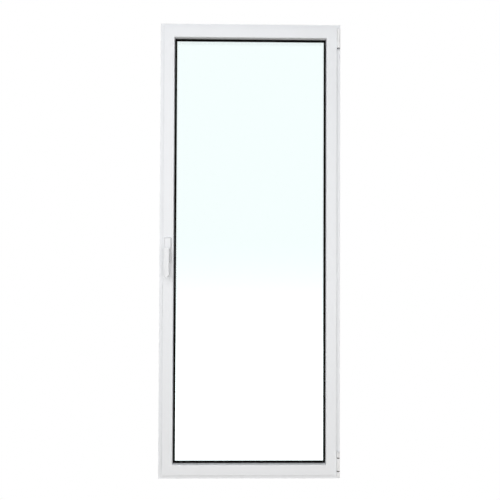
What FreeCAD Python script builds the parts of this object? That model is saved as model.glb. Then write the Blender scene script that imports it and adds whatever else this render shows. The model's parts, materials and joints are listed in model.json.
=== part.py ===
"""Tall single-leaf tilt-and-turn window in mitred aluminium profiles.

Frame: +Z up, room side towards -Y, hinges on the +X side, handle on the -X side.
The origin is the middle of the frame's bottom face. "u" is the distance from the
frame's outer edge towards the glass, so the same u holds on all four sides.
"""
import FreeCAD, Part
import math
import os
import re
import Sketcher

DIMENSIONS = {
    # outer frame
    "width": 795, "height": 2000, "frame_half": 30, "frame_wall": 1.8,
    "rebate": 24, "wing": 46, "wing_front": 20, "break_half": 8,
    "strip": 2.5, "cleat_leg": 44, "cleat_gap": 0.1,
    "fixing_radius": 3.1, "fixing_y": 19, "fixing_low": 250, "fixing_pitch": 750,
    "cap_radius": 6, "cap_height": 1.5,
    "drain_x": 200, "drain_length": 40, "drain_low": 8, "drain_high": 14, "drain_out": 3,
    "weather_in": 45, "weather_out": 39, "weather_front": 18.3,
    # sash profile
    "sash_edge": 16, "sash_body": 36, "sash_sight": 62, "sash_face": 38, "sash_back": 15,
    "flange": 2, "sash_wall": 1.8, "sash_round": 3.2, "edge_round": 1.2,
    "groove_lip": 37.5, "groove_floor": 43, "groove_front": 31.5, "groove_back": 16.5,
    "mouth_front": 29, "mouth_back": 18, "chamber_out": 44.6,
    "carrier_out": 38, "carrier_in": 42, "bead_in": 54, "bead_back": 18,
    "overlap_out": 17, "overlap_in": 21, "overlap_tip": 31.5,
    "notch_in": 16, "notch_out": 6, "notch_play": 3,
    # glass unit
    "glass_half": 10, "pane": 4, "glass_edge": 47, "spacer_out": 51, "spacer_in": 58,
    "gasket_out": 54, "gasket_in": 70, "outer_gasket_in": 56, "block_length": 80,
    # corner hinges
    "turn_x": 388.8, "turn_y": 39.5, "barrel": 6.8, "barrel_round": 0.8, "barrel_dome": 4, "end_cap": 2,
    "pin": 4, "running_fit": 0.05, "washer": 6.2, "washer_play": 0.1, "seat": 1.5,
    "plate_half": 6.5, "plate_front": 31.9, "web_half": 4,
    "leaf_front": 35.6, "leaf_back": 32.6, "link_in": 363.5, "link_out": 366.5, "link_back": 17,
    "low_foot": 14, "low_top": 34, "swivel_foot": 38, "swivel_top": 91.7,
    "upper_foot": 95.7, "upper_top": 118.5,
    "head_foot": 1931, "head_top": 1978, "stay_foot": 1893, "stay_top": 1930.6,
    "screw_radius": 2, "screw_head": 2.9, "screw_tip": 24, "head_depth": 1.4, "screw_inset": 9,
    # tilt pivot
    "tilt_y": 24, "tilt_z": 30, "tilt_pin": 3, "shoe_in": 343.5, "shoe_low": 25.5,
    "shoe_front": 30, "shoe_back": 18, "foot_front": 33.6,
    # stay
    "arm_low": 1968, "arm_high": 1971, "arm_front": 29, "arm_back": 17, "arm_margin": 8,
    "stay_pin_x": 40.4, "stay_pin_y": 23, "stay_pin_radius": 3, "stay_pin_low": 1958,
    # handle
    "handle_x": 359, "handle_z": 997.5, "cover_half": 17.4, "cover_half_height": 57.5,
    "cover_front": 51, "cover_wall": 1.6, "cover_round": 2.5, "cover_draft": -20,
    "cavity_half": 11.6, "cavity_half_height": 51.4, "plate_half_width": 11.5,
    "plate_half_height": 51.2, "case_front": 40.5, "base_screw_offset": 46,
    "base_head": 3.5, "base_head_high": 2,
    "bush": 9, "bush_length": 3, "boss": 7, "lever_gap": 0.3, "hub": 10, "neck_sink": 6,
    "lever_top": 11.7, "lever_end": 11.2, "lever_reach": 115.5, "lever_back": 71, "lever_front": 85,
    "lever_round": 4,
    "spindle": 7, "spindle_front": 68, "spindle_back": 38.2, "spindle_bore": 5,
    # gear and rods
    "teeth": 12, "module": 1.25, "addendum": 1, "dedendum": 1.3, "tooth_sink": 0.2,
    "rack_teeth": 9, "rack_back": 370.1, "rack_low": 18, "rack_high": 30,
    "gear_front": 46.5, "gear_back": 41,
    "fork_in": 365, "fork_out": 369.5, "fork_back": 20, "fork_front": 28, "fork_high": 6,
    "travel": 23.6, "slot_play": 1,
    "rod_out": 38.2, "rod_in": 41.2, "rod_front": 31, "rod_back": 17, "rod_end": 100,
    "corner_leg": 60, "corner_out": 37.6, "corner_in": 42.9,
    "cam": 4, "cam_y": 23.5, "cam_tip": 28,
    "keep_plate": 2, "keep_front": 28, "keep_back": 10, "keep_stop": 19, "stop_back": 15,
    "stop_tip": 32, "stop_short": 14, "keep_half": 30, "keep_screw": 1.5, "keep_screw_offset": 24,
    "keep_screw_tip": 20, "keep_head": 3, "keep_head_high": 1,
}
# places of the locking cams, and spans of the two short rods, along their own sides
STILE_CAMS = (350, 760, 1250, 1650)
TOP_CAMS = (-250, -60)
BOTTOM_CAMS = (-200, 150)
TOP_ROD = (-310, 0)
BOTTOM_ROD = (-330, 300)
FIXINGS = ("fixing_low", "fixing_low + fixing_pitch", "fixing_low + 2 * fixing_pitch")
HINGE_SCREWS = ("swivel_foot + screw_inset", "swivel_top - screw_inset",
                "stay_foot + screw_inset", "stay_top - screw_inset")
TURN_AXIS = ("turn_x", "-turn_y")
HANDLE_AXIS = ("-handle_x", "handle_z")
# half widths of a tooth in modules, at its tip, pitch line and root
TOOTH = (0.28, 0.6, 0.7)
RACK_TOOTH = (0.3, 0.95)

doc = FreeCAD.newDocument("TiltAndTurnWindow")
sheet = doc.addObject("Spreadsheet::Sheet", "Dims")
for row, (alias, size) in enumerate(DIMENSIONS.items(), start=1):
    sheet.set(f"A{row}", alias)
    sheet.set(f"B{row}", str(size))
    sheet.setAlias(f"B{row}", alias)
doc.recompute()
nodes = []


# ---------------------------------------------------------------- helpers
def formula(text):
    """A formula of sheet aliases, spelled as the document reads it."""
    def spell(word):
        return f"Dims.{word[0]}" if word[0] in DIMENSIONS else word[0]
    return re.sub(r"[a-z][a-z_]*", spell, str(text))


def value(text):
    """The number that a formula gives now."""
    return float(sheet.evalExpression(formula(text)))


def bind(item, **formulas):
    """Bind properties of an object; "__" in a name stands for a dot."""
    for name, text in formulas.items():
        item.setExpression(name.replace("__", "."), formula(text))


def place(item, x, y, z):
    """Bind an object's position."""
    bind(item, Placement__Base__x=x, Placement__Base__y=y, Placement__Base__z=z)


def node(item, label):
    """Name a finished sub-part."""
    item.Label = label
    nodes.append(item)
    return item


def box(xs, ys, zs):
    """A block between two formulas on each axis, in either order."""
    item = doc.addObject("Part::Box", "Block")
    spans = [sorted(pair, key=value) for pair in (xs, ys, zs)]
    sizes = [f"({high}) - ({low})" for low, high in spans]
    bind(item, Length=sizes[0], Width=sizes[1], Height=sizes[2])
    place(item, *[low for low, high in spans])
    return item


def cylinder(axis, radius, centre, span):
    """A round bar along an axis; centre holds the other two coordinates in x, y, z order."""
    turns = {"x": ((0, 1, 0), 90), "y": ((1, 0, 0), -90), "z": ((0, 0, 1), 0)}
    low, high = sorted(span, key=value)
    item = doc.addObject("Part::Cylinder", "Round")
    item.Placement.Rotation = FreeCAD.Rotation(FreeCAD.Vector(*turns[axis][0]), turns[axis][1])
    bind(item, Radius=radius, Height=f"({high}) - ({low})")
    start = list(centre)
    start.insert("xyz".index(axis), low)
    place(item, *start)
    return item


def fuse(*pieces):
    """One solid from pieces that touch or overlap."""
    item = doc.addObject("Part::MultiFuse", "Joined")
    item.Shapes = list(pieces)
    item.Refine = True
    return item


def cut(base, *tools):
    """A piece with material taken away."""
    item = doc.addObject("Part::Cut", "Trimmed")
    item.Base = base
    item.Tool = tools[0] if len(tools) == 1 else fuse(*tools)
    return item


def group(*pieces):
    """Separate solids that share one node."""
    item = doc.addObject("Part::Compound", "Set")
    item.Links = list(pieces)
    return item


def side_x(sign, depth):
    """X of a point at u = depth on the hinge side (1) or the handle side (-1)."""
    return f"{sign} * (width / 2 - ({depth}))"


def level_z(top, depth):
    """Z of a point at u = depth, measured from the head or from the sill."""
    return f"height - ({depth})" if top else depth


def ring(outer, inner, front, back):
    """A rectangular ring between two values of u and two values of y."""
    blocks = [box((side_x(-1, depth), side_x(1, depth)), (front, back), (depth, level_z(True, depth)))
              for depth in (outer, inner)]
    return cut(*blocks)


def corner(sign, top, outer, inner, front, back, leg):
    """An L-shaped piece that lies in one corner of the ring."""
    flat = box((side_x(sign, outer), side_x(sign, leg)), (front, back),
               (level_z(top, outer), level_z(top, inner)))
    upright = box((side_x(sign, outer), side_x(sign, inner)), (front, back),
                  (level_z(top, outer), level_z(top, leg)))
    return fuse(flat, upright)


def on_side(side, along, across, depths):
    """A block on one side: a span along the side, one across it in y, and one in u."""
    if side in ("sill", "head"):
        return box(along, across, [level_z(side == "head", depth) for depth in depths])
    sign = 1 if side == "hinge_jamb" else -1
    return box([side_x(sign, depth) for depth in depths], across, along)


def pin_on_side(side, radius, along, y, depths):
    """A round pin on one side, square to it."""
    if side in ("sill", "head"):
        return cylinder("z", radius, (along, y), [level_z(side == "head", depth) for depth in depths])
    sign = 1 if side == "hinge_jamb" else -1
    return cylinder("x", radius, (y, along), [side_x(sign, depth) for depth in depths])


# ---------------------------------------------------------------- bodies made from sketches
def plane_sketch(body, role):
    """A sketch on one of the body's own origin planes."""
    sketch = body.newObject("Sketcher::SketchObject", "Outline")
    plane = next(item for item in body.Origin.OriginFeatures if item.Role == role)
    sketch.AttachmentSupport = [(plane, "")]
    sketch.MapMode = "FlatFace"
    return sketch


def draw_loop(sketch, points):
    """A closed outline whose corners are bound to formulas."""
    first = sketch.GeometryCount
    corners = [FreeCAD.Vector(value(across), value(up), 0) for across, up in points]
    count = len(points)
    for index in range(count):
        line = Part.LineSegment(corners[index], corners[(index + 1) % count])
        sketch.addGeometry(line, False)
    for index in range(count):
        following = first + (index + 1) % count
        sketch.addConstraint(Sketcher.Constraint("Coincident", first + index, 2, following, 1))
        for kind, text in zip(("DistanceX", "DistanceY"), points[index]):
            rule = Sketcher.Constraint(kind, -1, 1, first + index, 1, value(text))
            number = sketch.addConstraint(rule)
            sketch.setExpression(f"Constraints[{number}]", formula(text))


def rectangle(lows, highs):
    """Corner points of a rectangle."""
    return [(lows[0], lows[1]), (highs[0], lows[1]), (highs[0], highs[1]), (lows[0], highs[1])]


def pad(body, sketch, length, side="Symmetric", backwards=False):
    """Extrude a sketch by a length."""
    feature = body.newObject("PartDesign::Pad", "Pad")
    feature.Profile = sketch
    feature.SideType = side
    feature.Reversed = backwards
    bind(feature, Length=length)
    doc.recompute()
    return feature


def fillet(body, base, radius, wanted):
    """Round the edges of the last feature that the test accepts."""
    names = [f"Edge{number}" for number, edge in enumerate(base.Shape.Edges, start=1) if wanted(edge)]
    feature = body.newObject("PartDesign::Fillet", "Fillet")
    feature.Base = (base, names)
    bind(feature, Radius=radius)
    doc.recompute()
    return feature


def runs_along(y, depth):
    """A test for the long edge of a bar at this y and u."""
    def accept(edge):
        ends = [vertex.Point for vertex in edge.Vertexes]
        return all(abs(point.y - value(y)) < 1e-4 and abs(point.z - value(depth)) < 1e-4 for point in ends)
    return accept


SIDES = {
    "sill": ("width", 0, ("0", "0", "0")),
    "head": ("width", 180, ("0", "0", "height")),
    "hinge_jamb": ("height", -90, ("width / 2", "0", "height / 2")),
    "handle_jamb": ("height", 90, ("-width / 2", "0", "height / 2")),
}


def mitred_bar(side, loops, depth, rounded=()):
    """A profile bar cut at 45 degrees at both ends and set on its side of the ring."""
    length, angle, spot = SIDES[side]
    body = doc.addObject("PartDesign::Body", "Bar")
    profile = plane_sketch(body, "YZ_Plane")
    for points in loops:
        draw_loop(profile, points)
    feature = pad(body, profile, length)
    for radius, y, edge_depth in rounded:
        feature = fillet(body, feature, radius, runs_along(y, edge_depth))
    mitre = plane_sketch(body, "XZ_Plane")
    for sign in ("1", "-1"):
        draw_loop(mitre, [(f"{sign} * ({length} / 2 + 1)", "-1"),
                          (f"{sign} * ({length} / 2 + 1)", f"{depth} + 1"),
                          (f"{sign} * ({length} / 2 - {depth} - 1)", f"{depth} + 1")])
    pocket = body.newObject("PartDesign::Pocket", "Mitre")
    pocket.Profile = mitre
    pocket.Type = "ThroughAll"
    pocket.SideType = "Symmetric"
    body.Placement.Rotation = FreeCAD.Rotation(FreeCAD.Vector(0, 1, 0), angle)
    place(body, *spot)
    return body


def turned_barrel(span, bore, rounds, closed=(False, False)):
    """A hinge knuckle around the turn axis; a closed end keeps a cap over the bore."""
    body = doc.addObject("PartDesign::Body", "Barrel")
    profile = plane_sketch(body, "XZ_Plane")
    low, high = span
    ends = [[("0", f"{low} + end_cap"), ("0", low)] if closed[0] else [],
            [("0", high), ("0", f"{high} - end_cap")] if closed[1] else []]
    foot = [(bore, f"{low} + end_cap")] if closed[0] else [(bore, low)]
    crown = [(bore, f"{high} - end_cap")] if closed[1] else [(bore, high)]
    draw_loop(profile, foot + ends[0] + [("barrel", low), ("barrel", high)] + ends[1] + crown)
    turn = body.newObject("PartDesign::Revolution", "Turn")
    turn.Profile = profile
    turn.ReferenceAxis = (profile, ["V_Axis"])
    turn.Angle = 360
    doc.recompute()
    feature = turn
    for level, radius in zip(span, rounds):
        def rim(edge, height=value(level)):
            centre = getattr(edge.Curve, "Center", None)
            flat = centre is not None and abs(centre.z - height) < 1e-4
            return flat and abs(edge.Curve.Radius - value("barrel")) < 1e-4
        feature = fillet(body, feature, radius, rim)
    place(body, "turn_x", "-turn_y", "0")
    return body


# ---------------------------------------------------------------- outer frame
def keep_sites():
    """Side and place along it of every locking keep."""
    sites = [("handle_jamb", spot) for spot in STILE_CAMS]
    sites += [("head", spot) for spot in TOP_CAMS]
    sites += [("sill", spot) for spot in BOTTOM_CAMS]
    return sites


def keep_screw_places(spot):
    """The two screws of a keep, at its ends."""
    return [f"{spot} + {sign} * keep_screw_offset" for sign in (1, -1)]


def build_frame_profiles():
    """Room-side and weather-side shells, with the holes for fixings, keeps and hinges."""
    inner_shell = [rectangle(("-frame_half", "0"), ("-break_half", "rebate")),
                   rectangle(("-frame_half + frame_wall", "frame_wall"),
                             ("-break_half - frame_wall", "rebate - frame_wall"))]
    outer_shell = [[("break_half", "0"), ("frame_half", "0"), ("frame_half", "wing"), ("wing_front", "wing"),
                    ("wing_front", "rebate"), ("break_half", "rebate")],
                   rectangle(("break_half + frame_wall", "frame_wall"),
                             ("frame_half - frame_wall", "rebate - frame_wall")),
                   rectangle(("wing_front + frame_wall", "rebate"),
                             ("frame_half - frame_wall", "wing - frame_wall"))]
    for side in SIDES:
        holes = []
        for keep_side, spot in keep_sites():
            if keep_side == side:
                holes += [pin_on_side(side, "keep_screw", along, "-cam_y", ("keep_screw_tip", "rebate"))
                          for along in keep_screw_places(spot)]
        if side.endswith("jamb"):
            holes += [pin_on_side(side, "fixing_radius", along, "-fixing_y", ("-1", "rebate + 1"))
                      for along in FIXINGS]
        if side == "hinge_jamb":
            holes += [cylinder("y", "screw_radius", ("turn_x", z), ("-frame_half", "-screw_tip"))
                      for z in HINGE_SCREWS]
        body = mitred_bar(side, inner_shell, "rebate", [("edge_round", "-frame_half", "0")])
        node(cut(body, *holes) if holes else body, f"frame_{side}_inner")
        node(mitred_bar(side, outer_shell, "wing"), f"frame_{side}_outer")


def build_frame_trim():
    """Thermal strips, cleats, weather seal and the small caps."""
    strips = [ring("0", "strip", "-break_half", "break_half"),
              ring("rebate - strip", "rebate", "-break_half", "break_half")]
    node(group(*strips), "frame_thermal_breaks")
    cleats = []
    for sign in (1, -1):
        for top in (False, True):
            for front, back in (("-frame_half", "-break_half"), ("break_half", "frame_half")):
                cleats.append(corner(sign, top, "frame_wall + cleat_gap", "rebate - frame_wall - cleat_gap",
                                     f"{front} + frame_wall + cleat_gap", f"{back} - frame_wall - cleat_gap",
                                     "cleat_leg"))
    node(group(*cleats), "frame_corner_cleats")
    node(ring("weather_out", "weather_in", "weather_front", "wing_front"), "frame_weather_gasket")
    drains = [box((f"{sign} * drain_x - drain_length / 2", f"{sign} * drain_x + drain_length / 2"),
                  ("frame_half", "frame_half + drain_out"), ("drain_low", "drain_high")) for sign in (1, -1)]
    node(group(*drains), "frame_drain_caps")
    caps = [pin_on_side(side, "cap_radius", along, "-fixing_y", ("rebate", "rebate + cap_height"))
            for side in ("hinge_jamb", "handle_jamb") for along in FIXINGS]
    node(group(*caps), "frame_fixing_caps")


def build_keeps():
    """Keeps with a back stop behind each locking cam, and their screws."""
    keeps = []
    screws = []
    for side, spot in keep_sites():
        span = (f"{spot} - keep_half", f"{spot} + keep_half")
        stop_span = (f"{spot} - keep_half", f"{spot} + keep_half - stop_short")
        plate = on_side(side, span, ("-keep_front", "-keep_back"), ("rebate", "rebate + keep_plate"))
        stop = on_side(side, stop_span, ("-keep_stop", "-stop_back"), ("rebate", "stop_tip"))
        holes = [pin_on_side(side, "keep_screw", along, "-cam_y", ("rebate", "rebate + keep_plate"))
                 for along in keep_screw_places(spot)]
        keeps.append(cut(fuse(plate, stop), *holes))
        for along in keep_screw_places(spot):
            shank = pin_on_side(side, "keep_screw", along, "-cam_y",
                                ("keep_screw_tip", "rebate + keep_plate"))
            head = pin_on_side(side, "keep_head", along, "-cam_y",
                               ("rebate + keep_plate", "rebate + keep_plate + keep_head_high"))
            screws.append(fuse(shank, head))
    node(group(*keeps), "lock_keeps")
    node(group(*screws), "keep_screws")


# ---------------------------------------------------------------- corner hinges
def hinge_bracket(plate_span, bore_span, knuckles, screw_places):
    """A hinge half screwed to the frame: back plate, webs and fixed knuckles."""
    plate = box(("turn_x - plate_half", "turn_x + plate_half"), ("-plate_front", "-frame_half"), plate_span)
    parts = [plate]
    for span, _ in knuckles:
        parts.append(box(("turn_x - web_half", "turn_x + web_half"), ("-turn_y", "-plate_front"), span))
    solid = fuse(*parts)
    cuts = [cylinder("z", "pin", TURN_AXIS, bore_span)]
    for z in screw_places:
        spot = ("turn_x", z)
        cuts.append(cylinder("y", "screw_radius", spot, ("-plate_front", "-frame_half")))
        cuts.append(cylinder("y", "screw_head", spot, ("-plate_front", "-plate_front + head_depth")))
    barrels = [turned_barrel(span, "pin", *style) for span, style in knuckles]
    return fuse(cut(solid, *cuts), *barrels)


def build_hinges():
    """Frame brackets, their pins, washers and screws, the turning swivel and its tilt pin."""
    low = (("low_foot", "low_top"), (("barrel_dome", "barrel_round"), (True, False)))
    upper = (("upper_foot", "upper_top"), (("barrel_round", "barrel_dome"), (False, True)))
    low_bore = ("low_foot + end_cap", "upper_top - end_cap")
    node(hinge_bracket(("low_foot", "upper_top"), low_bore, (low, upper), HINGE_SCREWS[:2]),
         "bottom_hinge_bracket")
    top = (("head_foot", "head_top"), (("barrel_round", "barrel_round"), (False, True)))
    top_bore = ("stay_foot - seat", "head_top - end_cap")
    node(hinge_bracket(("stay_foot", "head_top"), top_bore, (top,), HINGE_SCREWS[2:]), "top_hinge_bracket")
    node(cylinder("z", "pin", TURN_AXIS, low_bore), "bottom_hinge_pin")
    node(cylinder("z", "pin", TURN_AXIS, top_bore), "top_hinge_pin")
    gaps = (("low_top", "swivel_foot - washer_play"), ("swivel_top + washer_play", "upper_foot"),
            ("stay_foot - seat", "stay_foot - washer_play"))
    washers = [cut(cylinder("z", "washer", TURN_AXIS, gap), cylinder("z", "pin", TURN_AXIS, gap))
               for gap in gaps]
    node(group(*washers), "hinge_washers")
    screws = []
    for z in HINGE_SCREWS:
        shank = cylinder("y", "screw_radius", ("turn_x", z), ("-plate_front + head_depth", "-screw_tip"))
        head = cylinder("y", "screw_head", ("turn_x", z), ("-plate_front", "-plate_front + head_depth"))
        screws.append(fuse(shank, head))
    node(group(*screws), "hinge_screws")

    even_ends = ("barrel_round", "barrel_round")
    bore = cylinder("z", "pin + running_fit", TURN_AXIS, ("swivel_foot", "swivel_top"))
    leaf = box(("link_in", "turn_x"), ("-leaf_front", "-leaf_back"), ("swivel_foot", "swivel_top"))
    web = box(("link_in", "link_out"), ("-leaf_front", "-link_back"), ("swivel_foot", "swivel_top"))
    foot = box(("link_in", "link_out"), ("-foot_front", "-link_back"), ("shoe_low", "swivel_foot"))
    pin_hole = cylinder("x", "tilt_pin", ("-tilt_y", "tilt_z"), ("link_in", "link_out"))
    knuckle = turned_barrel(("swivel_foot", "swivel_top"), "pin + running_fit", even_ends)
    node(fuse(cut(fuse(leaf, web, foot), bore, pin_hole), knuckle), "hinge_swivel")
    node(cylinder("x", "tilt_pin", ("-tilt_y", "tilt_z"), ("shoe_in", "link_out")), "tilt_pin")


def build_stay():
    """The top stay: a knuckle with its leaf on the turn axis, and a flat arm with its end pin."""
    bore = cylinder("z", "pin + running_fit", TURN_AXIS, ("stay_foot", "stay_top"))
    leaf = box(("link_out", "turn_x"), ("-leaf_front", "-leaf_back"), ("stay_foot", "stay_top"))
    even_ends = ("barrel_round", "barrel_round")
    knuckle = turned_barrel(("stay_foot", "stay_top"), "pin + running_fit", even_ends)
    node(fuse(cut(leaf, bore), knuckle), "stay_knuckle")
    web = box(("link_in", "link_out"), ("-leaf_front", "-link_back"), ("stay_foot", "arm_high"))
    arm = box(("stay_pin_x - arm_margin", "link_out"), ("-arm_front", "-arm_back"), ("arm_low", "arm_high"))
    node(fuse(web, arm), "stay_arm")
    node(cylinder("z", "stay_pin_radius", ("stay_pin_x", "-stay_pin_y"), ("stay_pin_low", "arm_low")),
         "stay_pin")


# ---------------------------------------------------------------- sash and glass
def fork_slot(front, back):
    """Room for the rack's fork to pass through and slide."""
    return box(("-fork_out - slot_play", "-fork_in + slot_play"), (front, back),
               ("handle_z - rack_low - travel - slot_play", "handle_z - fork_high + slot_play"))


def build_sash():
    """Four mitred profiles: flange over the frame, tube, and the groove for the rods."""
    outline = [("-sash_face", "sash_edge"), ("-sash_face + flange", "sash_edge"),
               ("-sash_face + flange", "sash_body"), ("-mouth_front", "sash_body"),
               ("-mouth_front", "groove_lip"), ("-groove_front", "groove_lip"),
               ("-groove_front", "groove_floor"), ("-groove_back", "groove_floor"),
               ("-groove_back", "groove_lip"), ("-mouth_back", "groove_lip"),
               ("-mouth_back", "sash_body"), ("-sash_back", "sash_body"),
               ("-sash_back", "sash_sight"), ("-sash_face", "sash_sight")]
    chamber = rectangle(("-sash_face + sash_wall", "chamber_out"),
                        ("-sash_back - sash_wall", "sash_sight - sash_wall"))
    rounded = [("sash_round", "-sash_face", "sash_sight"), ("edge_round", "-sash_face", "sash_edge")]
    labels = {"sill": "sash_bottom_rail", "head": "sash_top_rail",
              "hinge_jamb": "sash_hinge_stile", "handle_jamb": "sash_handle_stile"}
    for side, label in labels.items():
        bar = mitred_bar(side, [outline, chamber], "sash_sight", rounded)
        if side == "handle_jamb":
            slot = fork_slot("-sash_face", "-sash_face + flange")
            holes = [cylinder("y", "screw_radius", ("-handle_x", z), ("-sash_face", "-groove_front"))
                     for z in base_screw_places()]
            bar = cut(bar, slot, *holes)
        node(bar, label)


def build_sash_trim():
    """Cleats, glass carrier, bead, gaskets and the sealed glass unit."""
    cleats = [corner(sign, top, "chamber_out + cleat_gap", "sash_sight - sash_wall - cleat_gap",
                     "-sash_face + sash_wall + cleat_gap", "-sash_back - sash_wall - cleat_gap",
                     "chamber_out + cleat_leg") for sign in (1, -1) for top in (False, True)]
    node(group(*cleats), "sash_corner_cleats")
    node(ring("carrier_out", "carrier_in", "-sash_back", "bead_back"), "sash_glass_carrier")
    node(ring("carrier_in", "bead_in", "sash_back", "bead_back"), "sash_outer_bead")
    lip = ring("overlap_out", "overlap_in", "-sash_face + flange", "-overlap_tip")
    notches = [box(("turn_x - notch_in", "turn_x - notch_out"), ("-sash_face", "-frame_half"),
                   (f"{foot} - notch_play", f"{top} + notch_play"))
               for foot, top in (("swivel_foot", "swivel_top"), ("stay_foot", "stay_top"))]
    node(cut(lip, *notches), "sash_overlap_gasket")
    node(ring("gasket_out", "gasket_in", "-sash_back", "-glass_half"), "glazing_gasket_inner")
    node(ring("glass_edge", "outer_gasket_in", "glass_half", "sash_back"), "glazing_gasket_outer")
    across = (side_x(-1, "glass_edge"), side_x(1, "glass_edge"))
    upright = ("glass_edge", level_z(True, "glass_edge"))
    node(box(across, ("-glass_half", "-glass_half + pane"), upright), "glass_inner_pane")
    node(box(across, ("glass_half - pane", "glass_half"), upright), "glass_outer_pane")
    node(ring("glass_edge", "spacer_out", "-glass_half + pane", "glass_half - pane"), "glass_edge_seal")
    node(ring("spacer_out", "spacer_in", "-glass_half + pane", "glass_half - pane"), "glass_spacer")
    blocks = []
    for side, places in (("sill", ("-width / 4", "width / 4")), ("head", ("-width / 4", "width / 4")),
                         ("hinge_jamb", ("height / 8", "7 * height / 8")),
                         ("handle_jamb", ("height / 8", "7 * height / 8"))):
        for spot in places:
            span = (f"{spot} - block_length / 2", f"{spot} + block_length / 2")
            blocks.append(on_side(side, span, ("-glass_half", "glass_half"), ("carrier_in", "glass_edge")))
    node(group(*blocks), "setting_blocks")
    shoe = box(("shoe_in", side_x(1, "sash_body")), ("-shoe_front", "-shoe_back"),
               ("shoe_low", "sash_body"))
    bore = cylinder("x", "tilt_pin + running_fit", ("-tilt_y", "tilt_z"), ("shoe_in", "turn_x"))
    node(cut(shoe, bore), "bottom_hinge_shoe")


# ---------------------------------------------------------------- handle
def base_screw_places():
    """Heights of the two screws that hold the handle plate."""
    return [f"handle_z + {sign} * base_screw_offset" for sign in (1, -1)]


def build_handle():
    """Cover, plate, screws, bush, spindle, pinion and the lever."""
    cover = doc.addObject("PartDesign::Body", "Cover")
    outline = plane_sketch(cover, "XZ_Plane")
    draw_loop(outline, rectangle(("-cover_half", "-cover_half_height"), ("cover_half", "cover_half_height")))
    shell = pad(cover, outline, "cover_front - sash_face", "One side")
    bind(shell, TaperAngle="cover_draft")
    doc.recompute()
    front = -(value("cover_front") - value("sash_face"))

    def not_on_back(edge):
        return min(vertex.Point.y for vertex in edge.Vertexes) < front + 1e-4
    fillet(cover, shell, "cover_round", not_on_back)
    place(cover, "-handle_x", "-sash_face", "handle_z")
    hollow = box(("-handle_x - cavity_half", "-handle_x + cavity_half"),
                 ("-cover_front + cover_wall", "-sash_face"),
                 ("handle_z - cavity_half_height", "handle_z + cavity_half_height"))
    through = ("-cover_front", "-sash_face")
    node(cut(cover, hollow, cylinder("y", "bush", HANDLE_AXIS, through)), "handle_cover")
    node(cut(cylinder("y", "bush", HANDLE_AXIS, ("-cover_front", "-cover_front + bush_length")),
             cylinder("y", "boss + running_fit", HANDLE_AXIS, through)), "handle_bush")

    plate = box(("-handle_x - plate_half_width", "-handle_x + plate_half_width"),
                ("-case_front", "-sash_face"),
                ("handle_z - plate_half_height", "handle_z + plate_half_height"))
    slot = fork_slot("-case_front", "-sash_face")
    holes = [cylinder("y", "screw_radius", ("-handle_x", z), ("-case_front", "-sash_face"))
             for z in base_screw_places()]
    bearing = cylinder("y", "spindle_bore", HANDLE_AXIS, ("-case_front", "-sash_face"))
    node(cut(plate, slot, bearing, *holes), "handle_plate")
    shank_span = ("-case_front", "-groove_front")
    head_span = ("-case_front - base_head_high", "-case_front")
    screws = [fuse(cylinder("y", "screw_radius", ("-handle_x", z), shank_span),
                   cylinder("y", "base_head", ("-handle_x", z), head_span)) for z in base_screw_places()]
    node(group(*screws), "handle_screws")

    half = "spindle / 2"
    square = [(f"-handle_x - {half}", f"-handle_x + {half}"), (f"handle_z - {half}", f"handle_z + {half}")]
    node(box(square[0], ("-spindle_front", "-spindle_back"), square[1]), "handle_spindle")

    blade = doc.addObject("PartDesign::Body", "Blade")
    outline = plane_sketch(blade, "XZ_Plane")
    draw_lever_outline(outline)
    bar = pad(blade, outline, "lever_front - lever_back", "One side")
    face = -value("lever_front - lever_back")

    def face_edge(edge):
        return all(abs(vertex.Point.y - face) < 1e-4 for vertex in edge.Vertexes)
    fillet(blade, bar, "lever_round", face_edge)
    place(blade, "-handle_x", "-lever_back", "handle_z")
    neck = cylinder("y", "hub", HANDLE_AXIS, ("-lever_back - neck_sink", "-cover_front - lever_gap"))
    boss = cylinder("y", "boss", HANDLE_AXIS, ("-cover_front - lever_gap", "-cover_front + cover_wall"))
    socket = box(square[0], ("-spindle_front", "-sash_face"), square[1])
    node(cut(fuse(blade, neck, boss), socket), "handle_lever")


def draw_lever_outline(sketch):
    """Two half circles joined by straight flanks, narrower at the lower end."""
    top, end, toe = (value(text) for text in ("lever_top", "lever_end", "lever_end - lever_reach"))
    up = FreeCAD.Vector(0, 0, 1)
    crown = Part.Circle(FreeCAD.Vector(0, 0, 0), up, top)
    tip = Part.Circle(FreeCAD.Vector(0, toe, 0), up, end)
    sketch.addGeometry(Part.ArcOfCircle(crown, 0, math.pi), False)
    sketch.addGeometry(Part.LineSegment(FreeCAD.Vector(-top, 0, 0), FreeCAD.Vector(-end, toe, 0)), False)
    sketch.addGeometry(Part.ArcOfCircle(tip, math.pi, 2 * math.pi), False)
    sketch.addGeometry(Part.LineSegment(FreeCAD.Vector(end, toe, 0), FreeCAD.Vector(top, 0, 0)), False)
    for first, first_end, second, second_end in ((0, 2, 1, 1), (1, 2, 2, 1), (2, 2, 3, 1), (3, 2, 0, 1)):
        sketch.addConstraint(Sketcher.Constraint("Coincident", first, first_end, second, second_end))
    sketch.addConstraint(Sketcher.Constraint("Coincident", 0, 3, -1, 1))
    sketch.addConstraint(Sketcher.Constraint("DistanceX", -1, 1, 2, 3, 0))
    for curve, text in ((0, "lever_top"), (2, "lever_end")):
        number = sketch.addConstraint(Sketcher.Constraint("Radius", curve, value(text)))
        sketch.setExpression(f"Constraints[{number}]", formula(text))
    for point in (1, 2):
        sketch.addConstraint(Sketcher.Constraint("DistanceY", -1, 1, 0, point, 0))
        number = sketch.addConstraint(Sketcher.Constraint("DistanceY", -1, 1, 2, point, toe))
        sketch.setExpression(f"Constraints[{number}]", formula("lever_end - lever_reach"))


# ---------------------------------------------------------------- gear and locking rods
PITCH = f"{math.pi} * module"


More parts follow.
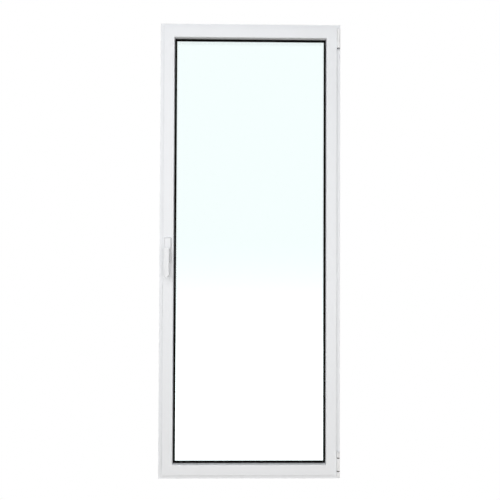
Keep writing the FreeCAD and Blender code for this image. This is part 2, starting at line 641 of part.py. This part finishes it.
def tooth(body, outline, length):
    """One gear tooth, padded on the body."""
    sketch = plane_sketch(body, "XZ_Plane")
    draw_loop(sketch, outline)
    return sketch, pad(body, sketch, length, "One side", True)


def build_pinion():
    """The toothed wheel on the handle's spindle."""
    thickness = "gear_front - gear_back"
    radius = "teeth * module / 2"
    root = f"{radius} - dedendum"
    pinion = doc.addObject("PartDesign::Body", "Pinion")
    core = plane_sketch(pinion, "XZ_Plane")
    circle = Part.Circle(FreeCAD.Vector(0, 0, 0), FreeCAD.Vector(0, 0, 1), value(root))
    core.addGeometry(circle, False)
    core.addConstraint(Sketcher.Constraint("Coincident", 0, 3, -1, 1))
    number = core.addConstraint(Sketcher.Constraint("Radius", 0, value(root)))
    core.setExpression(f"Constraints[{number}]", formula(root))
    draw_loop(core, rectangle(("-spindle / 2", "-spindle / 2"), ("spindle / 2", "spindle / 2")))
    pad(pinion, core, thickness, "One side", True)
    levels = (f"-{radius} - addendum", f"-{radius}", f"-{radius} + dedendum + tooth_sink")
    flank = list(zip(levels, TOOTH))
    outline = [(level, f"-{half} * module") for level, half in flank]
    outline += [(level, f"{half} * module") for level, half in reversed(flank)]
    sketch, feature = tooth(pinion, outline, thickness)
    around = pinion.newObject("PartDesign::PolarPattern", "Around")
    around.Originals = [feature]
    around.Axis = (sketch, ["N_Axis"])
    around.Angle = 360
    around.Occurrences = DIMENSIONS["teeth"]
    pinion.Tip = around
    place(pinion, "-handle_x", "-gear_front", "handle_z")
    node(pinion, "drive_pinion")


def build_rack():
    """The rack that the pinion drives, with the fork that reaches the stile rod."""
    thickness = "gear_front - gear_back"
    line = "-handle_x - teeth * module / 2"
    rack = doc.addObject("PartDesign::Body", "Rack")
    bar = plane_sketch(rack, "XZ_Plane")
    draw_loop(bar, rectangle(("-rack_back", "-rack_low"), (f"{line} - dedendum", "rack_high")))
    pad(rack, bar, thickness, "One side", True)
    centre = f"-{PITCH} / 2"
    root = f"{line} - dedendum - tooth_sink"
    crest = f"{line} + addendum"
    narrow, wide = RACK_TOOTH
    outline = [(root, f"{centre} - {wide} * module"), (root, f"{centre} + {wide} * module"),
               (crest, f"{centre} + {narrow} * module"), (crest, f"{centre} - {narrow} * module")]
    sketch, feature = tooth(rack, outline, thickness)
    row = rack.newObject("PartDesign::LinearPattern", "Row")
    row.Originals = [feature]
    row.Direction = (sketch, ["V_Axis"])
    bind(row, Length=f"(rack_teeth - 1) * {PITCH}")
    row.Occurrences = DIMENSIONS["rack_teeth"]
    rack.Tip = row
    place(rack, "0", "-gear_front", "handle_z")
    fork_span = ("handle_z - rack_low", "handle_z - fork_high")
    leg = box(("-fork_out", "-fork_in"), ("-gear_front", "-fork_back"), fork_span)
    foot = box(("-fork_in", side_x(-1, "rod_out")), ("-fork_front", "-fork_back"), fork_span)
    node(fuse(rack, leg, foot), "drive_rack")


def build_rods():
    """Flat locking rods in the sash groove, their cams and the two corner drives."""
    flat = ("-rod_front", "-rod_back")
    depths = ("rod_out", "rod_in")
    node(on_side("handle_jamb", ("rod_end", "height - rod_end"), flat, depths), "stile_rod")
    node(on_side("head", TOP_ROD, flat, depths), "top_rod")
    node(on_side("sill", BOTTOM_ROD, flat, depths), "bottom_rod")
    for label, side, spots in (("stile_cams", "handle_jamb", STILE_CAMS), ("top_cams", "head", TOP_CAMS),
                               ("bottom_cams", "sill", BOTTOM_CAMS)):
        cams = [pin_on_side(side, "cam", spot, "-cam_y", ("cam_tip", "rod_out")) for spot in spots]
        node(group(*cams), label)
    drives = [corner(-1, top, "corner_out", "corner_in", *flat, "corner_leg") for top in (False, True)]
    node(group(*drives), "corner_drives")


def check_and_export():
    """Stop on any failed object, then write every sub-part's file."""
    doc.recompute()
    for item in doc.Objects:
        if "Invalid" in item.State or "Error" in item.State:
            raise RuntimeError(f"{item.Label} failed: {item.State}")
    os.makedirs("parts", exist_ok=True)
    for item in nodes:
        if item.Shape.isNull() or not item.Shape.isValid() or not item.Shape.Solids:
            raise RuntimeError(f"{item.Label} has no valid shape")
        item.Shape.exportStep(f"parts/{item.Label}.step")
    print(f"{len(nodes)} sub-parts written")


build_frame_profiles()
build_frame_trim()
build_keeps()
build_hinges()
build_stay()
build_sash()
build_sash_trim()
build_handle()
build_pinion()
build_rack()
build_rods()
check_and_export()
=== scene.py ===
"""Tall tilt-and-turn window: materials, mouldings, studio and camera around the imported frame."""
import json
import math

import bmesh
import bpy
from mathutils import Matrix, Vector


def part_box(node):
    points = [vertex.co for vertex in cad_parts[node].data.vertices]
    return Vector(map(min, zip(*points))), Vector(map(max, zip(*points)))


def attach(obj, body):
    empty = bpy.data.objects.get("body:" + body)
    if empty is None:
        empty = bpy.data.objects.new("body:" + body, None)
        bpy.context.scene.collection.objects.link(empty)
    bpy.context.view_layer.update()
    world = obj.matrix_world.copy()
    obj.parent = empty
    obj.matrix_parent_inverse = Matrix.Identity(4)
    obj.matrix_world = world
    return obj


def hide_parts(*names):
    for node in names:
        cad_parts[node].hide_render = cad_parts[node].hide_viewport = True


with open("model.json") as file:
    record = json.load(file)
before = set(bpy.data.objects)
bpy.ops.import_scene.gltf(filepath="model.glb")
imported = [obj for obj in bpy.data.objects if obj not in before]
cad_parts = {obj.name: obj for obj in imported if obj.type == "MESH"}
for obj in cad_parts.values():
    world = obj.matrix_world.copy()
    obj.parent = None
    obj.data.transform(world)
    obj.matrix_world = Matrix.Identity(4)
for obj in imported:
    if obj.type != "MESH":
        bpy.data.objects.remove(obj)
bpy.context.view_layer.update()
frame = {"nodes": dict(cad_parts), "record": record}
scene = bpy.context.scene
scene.view_settings.view_transform = "Standard"
NODES = frame["nodes"]
MM = 0.001

# The hinge castings: smoother than the handle's, and whiter as a painted highlight. Also the slots whose
# edges catch the light.
HINGE_COVERS = ("bottom_hinge_bracket", "top_hinge_bracket", "hinge_swivel", "stay_knuckle")
SOFT_EDGED = ("white_coating", "white_cover", "white_trim", "steel", "zinc_casting")
EDGE_RADIUS = 0.35 * MM

# Edges sharper than this, in degrees, stay sharp.
PROFILE_CREASE = 35
HANDLE_CREASE = 50

COVER_CORNER = 6.5 * MM
CORNER_STEPS = 12
BUSH_RADIUS = 9.05 * MM

FLOOR_REACH = 3.4
FLOOR_GLOW = 0.45
FLOOR_SHINE = 1.6
SKY_GLOW = (0.155, 0.23)


# ---------------------------------------------------------------- places taken from the frame
def low(name):
    """The lowest corner of a node's box."""
    return Vector(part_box(name)[0])


def high(name):
    """The highest corner of a node's box."""
    return Vector(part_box(name)[1])


def middle(name):
    """The middle of a node's box."""
    return (low(name) + high(name)) / 2


FRAME_LOW = low("frame_sill_inner")
FRAME_HIGH = high("frame_head_inner")
HALF_WIDTH = (FRAME_HIGH.x - FRAME_LOW.x) / 2
HEIGHT = FRAME_HIGH.z - FRAME_LOW.z
HANDLE_X = middle("handle_spindle").x
HANDLE_Z = middle("handle_spindle").z


# ---------------------------------------------------------------- material building blocks
def new_material(name):
    """An empty node material with its Principled shader."""
    material = bpy.data.materials.new(name)
    material.use_nodes = True
    tree = material.node_tree
    return material, tree, tree.nodes["Principled BSDF"]


def noise(tree, scale, detail=3.0, stretch=(1, 1, 1)):
    """3-D noise in the object's own space; scale is in cells per metre."""
    place = tree.nodes.new("ShaderNodeTexCoord")
    mapping = tree.nodes.new("ShaderNodeMapping")
    mapping.inputs["Scale"].default_value = stretch
    texture = tree.nodes.new("ShaderNodeTexNoise")
    texture.inputs["Scale"].default_value = scale
    texture.inputs["Detail"].default_value = detail
    tree.links.new(place.outputs["Object"], mapping.inputs["Vector"])
    tree.links.new(mapping.outputs["Vector"], texture.inputs["Vector"])
    return texture.outputs["Fac"]


def remap(tree, source, start, end):
    """Noise turned into a number between start and end."""
    node = tree.nodes.new("ShaderNodeMapRange")
    node.inputs["From Min"].default_value = 0.3
    node.inputs["From Max"].default_value = 0.7
    node.inputs["To Min"].default_value = start
    node.inputs["To Max"].default_value = end
    tree.links.new(source, node.inputs["Value"])
    return node.outputs["Result"]


def blend_colours(tree, source, first, second):
    """A colour between two, chosen by the noise."""
    ramp = tree.nodes.new("ShaderNodeValToRGB")
    ramp.color_ramp.elements[0].position = 0.35
    ramp.color_ramp.elements[0].color = (*first, 1)
    ramp.color_ramp.elements[1].position = 0.65
    ramp.color_ramp.elements[1].color = (*second, 1)
    tree.links.new(source, ramp.inputs["Fac"])
    return ramp.outputs["Color"]


def bump(tree, shader, source, depth, strength):
    """Relief on the shader; depth is in metres."""
    node = tree.nodes.new("ShaderNodeBump")
    node.inputs["Strength"].default_value = strength
    node.inputs["Distance"].default_value = depth
    tree.links.new(source, node.inputs["Height"])
    tree.links.new(node.outputs["Normal"], shader.inputs["Normal"])


def surface(name, first, second, roughness, grain, depth, strength=0.5, metallic=0.0,
            stretch=(1, 1, 1), patch=6.0, **sockets):
    """A material with patchy colour, varied roughness and fine relief."""
    material, tree, shader = new_material(name)
    colour = blend_colours(tree, noise(tree, patch, 4.0), first, second)
    tree.links.new(colour, shader.inputs["Base Color"])
    rough = remap(tree, noise(tree, grain * 0.3, 2.0, stretch), *roughness)
    tree.links.new(rough, shader.inputs["Roughness"])
    bump(tree, shader, noise(tree, grain, 3.0, stretch), depth, strength)
    shader.inputs["Metallic"].default_value = metallic
    for socket, number in sockets.items():
        shader.inputs[socket.replace("_", " ")].default_value = number
    return material


def clear_glass():
    """Float glass with the slight green-blue of its iron."""
    material, tree, shader = new_material("float_glass")
    shader.inputs["Base Color"].default_value = (0.955, 1.0, 0.997, 1)
    shader.inputs["Roughness"].default_value = 0.0
    shader.inputs["IOR"].default_value = 1.5
    shader.inputs["Transmission Weight"].default_value = 1.0
    return material


MATERIALS = {
    "white_coating": surface("powder_coat", (0.85, 0.87, 0.898), (0.84, 0.86, 0.888),
                             (0.34, 0.46), 1500, 0.00006, 0.35),
    "white_cover": surface("coated_casting", (0.84, 0.855, 0.88), (0.83, 0.845, 0.87),
                           (0.3, 0.38), 1900, 0.00003, 0.3),
    # The hinge covers' whiter base colour is a painted highlight; their lower roughness is the casting's
    # own.
    "hinge_white_painted_highlight": surface("polished_casting_painted_highlight", (0.875, 0.885, 0.895), (0.865, 0.875, 0.885),
                           (0.26, 0.34), 1900, 0.00003, 0.3),
    "white_trim": surface("white_plastic", (0.82, 0.83, 0.84), (0.8, 0.81, 0.82),
                          (0.42, 0.5), 2600, 0.00002),
    "black_rubber": surface("epdm_rubber", (0.004, 0.004, 0.0042), (0.007, 0.007, 0.0073),
                            (0.82, 0.94), 1400, 0.00005, 0.5, patch=40, Specular_IOR_Level=0.04),
    "black_polyamide": surface("polyamide", (0.014, 0.014, 0.015), (0.022, 0.022, 0.023),
                               (0.45, 0.6), 900, 0.00006, 0.4),
    "steel": surface("zinc_plated_steel", (0.56, 0.575, 0.6), (0.66, 0.665, 0.67),
                     (0.26, 0.42), 700, 0.00003, 0.35, metallic=1.0, stretch=(1, 1, 0.06), patch=60),
    "zinc_casting": surface("die_cast_zinc", (0.36, 0.365, 0.375), (0.44, 0.445, 0.45),
                            (0.4, 0.58), 500, 0.0001, 0.4, metallic=1.0, patch=90),
    "clear_glass": clear_glass(),
    "spacer_metal": surface("black_spacer", (0.02, 0.02, 0.022), (0.03, 0.03, 0.033),
                            (0.3, 0.4), 1200, 0.00003, 0.3, metallic=0.6),
    "grey_plastic": surface("acetal", (0.3, 0.31, 0.32), (0.34, 0.35, 0.36),
                            (0.35, 0.45), 1500, 0.00002),
}


def dress_cad_nodes():
    """Give every CAD node the material of its slot, except the hinge covers, which get a whiter copy as
    a painted highlight; and a fine edge radius where it catches light.
    """
    slots = {part["node"]: part["material_slot"] for part in frame["record"]["subparts"]}
    for name, item in NODES.items():
        finish = "hinge_white_painted_highlight" if name in HINGE_COVERS else slots[name]
        for holder in item.material_slots:
            holder.material = MATERIALS[finish]
        if slots[name] in SOFT_EDGED:
            soften_edges(item)


def soften_edges(item):
    """A small rounded edge as a modifier, with clean normals on the flat faces."""
    edges = item.modifiers.new("edges", "BEVEL")
    edges.width = EDGE_RADIUS
    edges.segments = 2
    edges.limit_method = "ANGLE"
    edges.angle_limit = math.radians(40)
    edges.use_clamp_overlap = True
    edges.harden_normals = True


# ---------------------------------------------------------------- mesh building blocks
def closed_mesh(mesh_data, name):
    """Turn a bmesh into a mesh whose normals point outward."""
    bmesh.ops.recalc_face_normals(mesh_data, faces=mesh_data.faces)
    mesh = bpy.data.meshes.new(name)
    mesh_data.to_mesh(mesh)
    mesh_data.free()
    return mesh


def smooth(mesh, crease):
    """Smooth shading, broken at the sharp edges."""
    mesh.shade_smooth()
    mesh.set_sharp_from_angle(angle=math.radians(crease))


def new_object(name, content):
    """An object in the scene that holds a mesh, a light or a camera."""
    item = bpy.data.objects.new(name, content)
    scene.collection.objects.link(item)
    return item


def finish_piece(mesh_data, name, slot, body, stands_for, crease):
    """Turn a bmesh into a piece with its finish, riding on a body in place of CAD nodes."""
    mesh = closed_mesh(mesh_data, name)
    smooth(mesh, crease)
    item = new_object(name, mesh)
    mesh.materials.append(MATERIALS[slot])
    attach(item, body)
    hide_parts(*stands_for)
    return item


def loft(rings, capped=True):
    """Skin closed rings of points in order; then cap both ends, or join the last ring to the first."""
    mesh_data = bmesh.new()
    loops = [[mesh_data.verts.new(point) for point in ring] for ring in rings]
    count = len(loops[0])
    if capped:
        mesh_data.faces.new(loops[0])
        mesh_data.faces.new(loops[-1])
    else:
        loops.append(loops[0])
    for one, other in zip(loops, loops[1:]):
        for index in range(count):
            following = (index + 1) % count
            mesh_data.faces.new((one[index], one[following], other[following], other[index]))
    return mesh_data


def frame_ring(name, profile, body, stands_for):
    """A rubber moulding that runs round the window with mitred corners.

    The profile holds (u, y), where u is the distance in from the frame's outer edge.
    """
    corners = []
    for sign_x, top in ((-1, False), (1, False), (1, True), (-1, True)):
        corners.append([Vector((sign_x * (HALF_WIDTH - u), y, HEIGHT - u if top else u))
                        for u, y in profile])
    finish_piece(loft(corners, capped=False), name, "black_rubber", body, stands_for, PROFILE_CREASE)


def arc(centre, radius, start, end, steps):
    """Points of an arc, angles in degrees, in any two coordinates."""
    angles = [math.radians(start + (end - start) * step / steps) for step in range(steps + 1)]
    return [(centre[0] + radius * math.cos(a), centre[1] + radius * math.sin(a)) for a in angles]


def rounded_outline(half_x, half_z, radius):
    """A rectangle with round corners, as (x, z) points."""
    points = []
    for sign_x, sign_z, start in ((1, 1, 0), (-1, 1, 90), (-1, -1, 180), (1, -1, 270)):
        centre = (sign_x * (half_x - radius), sign_z * (half_z - radius))
        points += arc(centre, radius, start, start + 90, CORNER_STEPS)
    return points


def circle(radius):
    """A circle as (x, z) points, as many as a rounded outline has and in the same order."""
    count = 4 * (CORNER_STEPS + 1)
    turns = [2 * math.pi * (index + 0.5) / count for index in range(count)]
    return [(radius * math.cos(turn), radius * math.sin(turn)) for turn in turns]


def full_turn(count):
    """Angles evenly round a full turn."""
    return [2 * math.pi * index / count for index in range(count)]


# ---------------------------------------------------------------- gaskets
def build_gaskets():
    """Extruded rubber with a soft lip against the glass, on both sides of it."""
    frame_ring("glazing_gasket_room", room_gasket_profile(), "sash", ["glazing_gasket_inner"])
    frame_ring("glazing_gasket_street", street_gasket_profile(), "sash", ["glazing_gasket_outer"])


def room_gasket_profile():
    """From the stile over a low shoulder and a rounded nose, then straight back to the glass."""
    root = HALF_WIDTH + low("glazing_gasket_inner").x
    back = high("glazing_gasket_inner").y
    face = low("glazing_gasket_inner").y
    stile_edge = HALF_WIDTH + high("sash_handle_stile").x
    lip = lip_sight() + 0.6 * MM
    front = face - 2.4 * MM
    shoulder = 1.2 * MM
    nose = 1.5 * MM
    profile = [(root, face), (stile_edge + 0.2 * MM, face), (stile_edge + 0.8 * MM, front + 0.6 * MM)]
    profile += arc((stile_edge + 2.4 * MM, front + shoulder), shoulder, -150, -90, 4)
    profile += arc((lip - nose, front + nose), nose, -90, 0, 8)
    return profile + [(lip, back), (root, back)]


def street_gasket_profile():
    """A low wedge with one rounded lip."""
    root = HALF_WIDTH + low("glazing_gasket_outer").x
    lip = root + 9 * MM
    front = low("glazing_gasket_outer").y
    nose = 1.4 * MM
    profile = [(root, front), (lip - 2 * MM, front)]
    profile += arc((lip - nose, front + 1.5 * MM), nose, -80, 90, 10)
    return profile + [(root, high("glazing_gasket_outer").y)]


def lip_sight():
    """u of the inner gasket's visible edge, read from its ring."""
    mesh = NODES["glazing_gasket_inner"].data
    return HALF_WIDTH + max(vertex.co.x for vertex in mesh.vertices if vertex.co.x < 0)


# ---------------------------------------------------------------- handle
def build_handle_cover():
    """A cast shell: tapered flanks, soft front edge, a hole for the bush and a cavity for the gear."""
    centre = middle("handle_cover")
    half = (high("handle_cover") - low("handle_cover")) / 2
    back = high("handle_cover").y
    depth = 2 * half.y
    edge = 1.8 * MM
    taper = 4.3 * MM
    sections = [(0.0, rounded_outline(half.x, half.z, COVER_CORNER))]
    for angle in range(20, 91, 10):
        out = depth - edge + edge * math.sin(math.radians(angle))
        inset = taper + edge * (1 - math.cos(math.radians(angle)))
        sections.append((out, rounded_outline(half.x - inset, half.z - inset, COVER_CORNER)))
    ceiling = depth - 1.6 * MM
    sections += [(depth, circle(BUSH_RADIUS)), (ceiling, circle(BUSH_RADIUS))]
    plate = (high("handle_plate") - low("handle_plate")) / 2 + Vector((0.1, 0, 0.1)) * MM
    for out, corner in ((ceiling, 3 * MM), (2 * plate.y, 0.3 * MM), (0.0, 0.3 * MM)):
        sections.append((out, rounded_outline(plate.x, plate.z, corner)))
    shell = loft([[Vector((centre.x + x, back - out, centre.z + z)) for x, z in outline]
                  for out, outline in sections], capped=False)
    finish_piece(shell, "handle_rosette", "white_cover", "sash", ["handle_cover"], HANDLE_CREASE)


def build_handle_collar():
    """The flanged bush that the lever turns in."""
    front = low("handle_cover").y
    sleeve = BUSH_RADIUS - 0.05 * MM
    bore = 7.2 * MM
    foot = -3 * MM
    sections = [(foot, sleeve), (0.0, sleeve), (0.0, 10.6 * MM), (0.2 * MM, 10.45 * MM),
                (0.28 * MM, 10.1 * MM), (0.28 * MM, bore), (foot, bore)]
    bush = loft([[Vector((HANDLE_X + x, front - out, HANDLE_Z + z)) for x, z in circle(radius)]
                 for out, radius in sections], capped=False)
    finish_piece(bush, "handle_collar", "grey_plastic", "sash", ["handle_bush"], PROFILE_CREASE)


def build_lever():
    """A forged lever: a tapering blade with soft edges, on a round neck."""
    lever = finish_piece(lever_blade(), "lever_handle", "white_cover", "handle", ["handle_lever"],
                         HANDLE_CREASE)
    neck = new_object("neck", closed_mesh(lever_neck(), "neck"))
    join = lever.modifiers.new("join", "BOOLEAN")
    join.operation = "UNION"
    join.solver = "EXACT"
    join.object = neck
    bpy.context.view_layer.update()
    joined = bpy.data.meshes.new_from_object(
        lever.evaluated_get(bpy.context.evaluated_depsgraph_get()))
    lever.modifiers.clear()
    lever.data = joined
    smooth(joined, HANDLE_CREASE)
    bpy.data.objects.remove(neck)


def lever_blade():
    """Rings from the top to the foot, closer together at the rounded ends."""
    foot = low("handle_lever")
    top = high("handle_lever")
    half_top = (top.x - foot.x) / 2
    half_foot = half_top * 0.96
    thickness = 14 * MM
    thinnest = 0.25 * MM
    squareness = 0.42
    steps = 64
    rings = []
    for step in range(steps + 1):
        share = step / steps
        z = top.z + (foot.z - top.z) * (1 - math.cos(math.pi * share)) / 2
        fall = (top.z - z) / (top.z - foot.z)
        width = half_top + (half_foot - half_top) * fall
        width *= end_round(z, top.z, 7 * MM) * end_round(z, foot.z, 9.5 * MM)
        bulge = thickness / 2 * (1 - 0.22 * fall)
        depth = bulge * end_round(z, top.z, 2.6 * MM) * end_round(z, foot.z, 2.6 * MM)
        y = foot.y + thickness / 2 + 1.2 * MM * math.sin(math.pi * fall)
        width = max(width, thinnest)
        depth = max(depth, thinnest)
        rings.append([Vector((HANDLE_X + width * soft(math.cos(turn), squareness),
                              y + depth * soft(math.sin(turn), squareness), z))
                      for turn in full_turn(40)])
    return loft(rings)


def lever_neck():
    """A round neck from the bush into the blade; each ring has its distance out and its radius in mm."""
    back = high("handle_lever").y - 1.9 * MM
    rings = []
    for out, radius in ((0, 9.4), (1.2, 9.8), (8, 8.6), (14, 8.8), (18.5, 10.2), (22, 10.4)):
        rings.append([Vector((HANDLE_X + radius * MM * math.cos(turn), back - out * MM,
                              HANDLE_Z + radius * MM * math.sin(turn))) for turn in full_turn(48)])
    return loft(rings)


def soft(value, power):
    """A superellipse coordinate, between a circle and a rectangle."""
    return math.copysign(abs(value) ** power, value)


def end_round(z, tip, radius):
    """How wide a rounded end is at z, from 0 at its tip to 1 beyond its radius."""
    away = min(abs(z - tip) / radius, 1.0)
    return math.sqrt(max(1 - (1 - away) ** 2, 0.0))


# ---------------------------------------------------------------- studio
def emitter(tree, kind, colour, strength):
    """A light source node: "NodeEmission" for a surface, "NodeBackground" for the world."""
    node = tree.nodes.new(f"Shader{kind}")
    node.inputs["Color"].default_value = (*colour, 1)
    node.inputs["Strength"].default_value = strength
    return node


def choose(tree, ray, matching, others):
    """One source for one kind of ray, and another for the rest."""
    path = tree.nodes.new("ShaderNodeLightPath")
    mix = tree.nodes.new("ShaderNodeMixShader")
    tree.links.new(path.outputs[ray], mix.inputs["Fac"])
    tree.links.new(others.outputs[0], mix.inputs[1])
    tree.links.new(matching.outputs[0], mix.inputs[2])
    return mix


def smooth_range(tree, source, start, end, first, last):
    """A number that goes smoothly from first to last as the source goes from start to end."""
    node = tree.nodes.new("ShaderNodeMapRange")
    node.interpolation_type = "SMOOTHSTEP"
    for socket, number in (("From Min", start), ("From Max", end), ("To Min", first), ("To Max", last)):
        node.inputs[socket].default_value = number
    tree.links.new(source, node.inputs["Value"])
    return node.outputs["Result"]


def build_floor():
    """A plain pale floor: white to the eye, and a softer, warmer light from below."""
    mesh_data = bmesh.new()
    bmesh.ops.create_grid(mesh_data, x_segments=1, y_segments=1, size=FLOOR_REACH)
    mesh = bpy.data.meshes.new("floor")
    mesh_data.to_mesh(mesh)
    mesh_data.free()
    floor = new_object("floor", mesh)
    floor.location.z = FRAME_LOW.z - 1 * MM
    material = bpy.data.materials.new("pale_floor")
    material.use_nodes = True
    tree = material.node_tree
    tree.nodes.clear()
    seen = emitter(tree, "NodeEmission", (1, 1, 1), 1.0)
    given = emitter(tree, "NodeEmission", (1.0, 0.93, 0.84), FLOOR_GLOW)
    mirrored = emitter(tree, "NodeEmission", (1, 1, 1), FLOOR_SHINE)
    result = choose(tree, "Is Camera Ray", seen, choose(tree, "Is Glossy Ray", mirrored, given))
    output = tree.nodes.new("ShaderNodeOutputMaterial")
    tree.links.new(result.outputs[0], output.inputs["Surface"])
    mesh.materials.append(material)


def build_sky():
    """White to the eye; soft even light for the surfaces, a little stronger from above and the left."""
    world = bpy.data.worlds.new("studio")
    scene.world = world
    world.use_nodes = True
    tree = world.node_tree
    tree.nodes.clear()
    place = tree.nodes.new("ShaderNodeTexCoord")
    split = tree.nodes.new("ShaderNodeSeparateXYZ")
    tree.links.new(place.outputs["Generated"], split.inputs["Vector"])
    climb = smooth_range(tree, split.outputs["Z"], -0.5, 0.9, *SKY_GLOW)
    aside = smooth_range(tree, split.outputs["X"], -1.0, 1.0, 1.12, 0.8)
    product = tree.nodes.new("ShaderNodeMath")
    product.operation = "MULTIPLY"
    tree.links.new(climb, product.inputs[0])
    tree.links.new(aside, product.inputs[1])
    given = emitter(tree, "NodeBackground", (1, 1, 1), 1.0)
    tree.links.new(product.outputs["Value"], given.inputs["Strength"])
    mirrored = emitter(tree, "NodeBackground", (1, 1, 1), 1.0)
    horizon = smooth_range(tree, split.outputs["Z"], -0.3, 0.04, 1.4, 1.0)
    tree.links.new(horizon, mirrored.inputs["Strength"])
    seen = emitter(tree, "NodeBackground", (1, 1, 1), 1.0)
    result = choose(tree, "Is Camera Ray", seen, choose(tree, "Is Glossy Ray", mirrored, given))
    output = tree.nodes.new("ShaderNodeOutputWorld")
    tree.links.new(result.outputs[0], output.inputs["Surface"])


def soft_box(name, spot, target, size, power):
    """A square area light aimed at a point, left out of reflections."""
    lamp = bpy.data.lights.new(name, "AREA")
    lamp.shape = "SQUARE"
    lamp.size = size
    lamp.energy = power
    item = new_object(name, lamp)
    item.location = spot
    item.rotation_euler = (Vector(target) - Vector(spot)).to_track_quat("-Z", "Y").to_euler()
    item.visible_glossy = False
    item.visible_transmission = False


def build_camera():
    """Just below the middle of the window, a little to the handle side, tipped up slightly."""
    lens = bpy.data.cameras.new("camera")
    lens.sensor_width = 36
    lens.lens = 36.19
    camera = new_object("camera", lens)
    turn = Matrix.Rotation(math.radians(-0.696), 4, "Z")
    tilt = Matrix.Rotation(math.radians(90.809), 4, "X")
    roll = Matrix.Rotation(math.radians(0.216), 4, "Z")
    spot = Vector((-0.0266, -2.2428, 0.9687))
    camera.matrix_world = Matrix.Translation(spot) @ turn @ tilt @ roll
    scene.camera = camera


dress_cad_nodes()
build_gaskets()
build_handle_cover()
build_handle_collar()
build_lever()
build_floor()
build_sky()
soft_box("key", spot=(-1.05, -3.15, 2.5), target=(0, 0, 1.1), size=2.8, power=65)
soft_box("fill", spot=(0.4, -3.1, 0.4), target=(0, 0, 0.4), size=2.6, power=54)
soft_box("back", spot=(0.9, 3.0, 2.0), target=(0, 0, 1.0), size=2.6, power=72)
build_camera()
